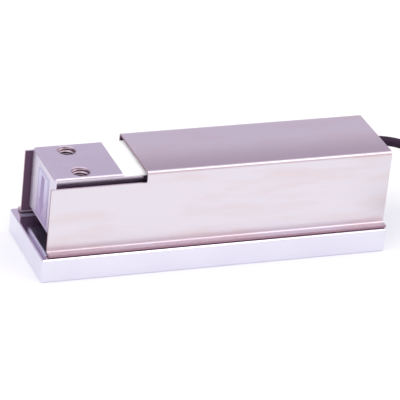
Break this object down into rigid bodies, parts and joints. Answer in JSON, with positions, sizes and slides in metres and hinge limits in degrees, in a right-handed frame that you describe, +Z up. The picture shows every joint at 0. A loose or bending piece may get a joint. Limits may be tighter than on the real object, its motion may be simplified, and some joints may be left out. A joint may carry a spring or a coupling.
{
  "type": "single point load cell",
  "caption": "Bending beam load cell on a ground base plate under a folded sheet cover, with tapped holes at its live end, white gauge seal and a coiled signal cable.",
  "frame": {"origin": "centre of the base plate's underside", "axes": "+X along the beam from the live end to the cable end, +Z up out of the load holes, +Y towards the rear wall of the cover"},
  "size_m": [0.3246, 0.104, 0.0595],
  "materials": {
    "ground_aluminium": "ground bar, near mirror on top, broken edges",
    "brushed_cover": "folded sheet, grained along its length",
    "beam_steel": "fine ground stainless steel",
    "white_silicone": "white silicone, smooth and soft",
    "gauge_foil": "amber foil gauge with metal grid",
    "circuit_board": "thin glass fibre board with tinned pads",
    "label_foil": "satin foil plate with a printed load arrow",
    "spacer_steel": "ground steel block",
    "zinc_screws": "zinc plated",
    "foam_tape": "thin dark foam tape",
    "nickel_gland": "nickel plated brass",
    "black_rubber": "matt black rubber",
    "cable_jacket": "matt black jacket",
    "tie_band": "woven black band",
    "red_wire": "coloured insulation, tinned end",
    "green_wire": "coloured insulation, tinned end",
    "white_wire": "coloured insulation, tinned end",
    "black_wire": "coloured insulation, tinned end"
  },
  "bodies": {
    "root": {"base_plate": "ground_aluminium", "load_cell_beam": "beam_steel", "top_gauge_seal": "white_silicone", "bottom_gauge_seal": "white_silicone", "strain_gauge_top_live": "gauge_foil", "strain_gauge_bottom_live": "gauge_foil", "strain_gauge_top_fixed": "gauge_foil", "strain_gauge_bottom_fixed": "gauge_foil", "terminal_board": "circuit_board", "cable_inner_end": "cable_jacket", "direction_label": "label_foil", "mounting_spacer": "spacer_steel", "fixing_screws": "zinc_screws", "fixing_washers": "zinc_screws", "overload_stop_screw": "zinc_screws", "overload_stop_nut": "zinc_screws", "cover": "brushed_cover", "bond_strip_front": "foam_tape", "bond_strip_rear": "foam_tape", "gland_body": "nickel_gland", "gland_seal": "black_rubber", "gland_nut": "nickel_gland", "strain_relief": "black_rubber", "signal_cable": "cable_jacket", "cable_coil": "cable_jacket", "coil_ties": "tie_band", "cable_end_sleeve": "black_rubber", "lead_red": "red_wire", "lead_green": "green_wire", "lead_white": "white_wire", "lead_black": "black_wire"}
  },
  "joints": []
}
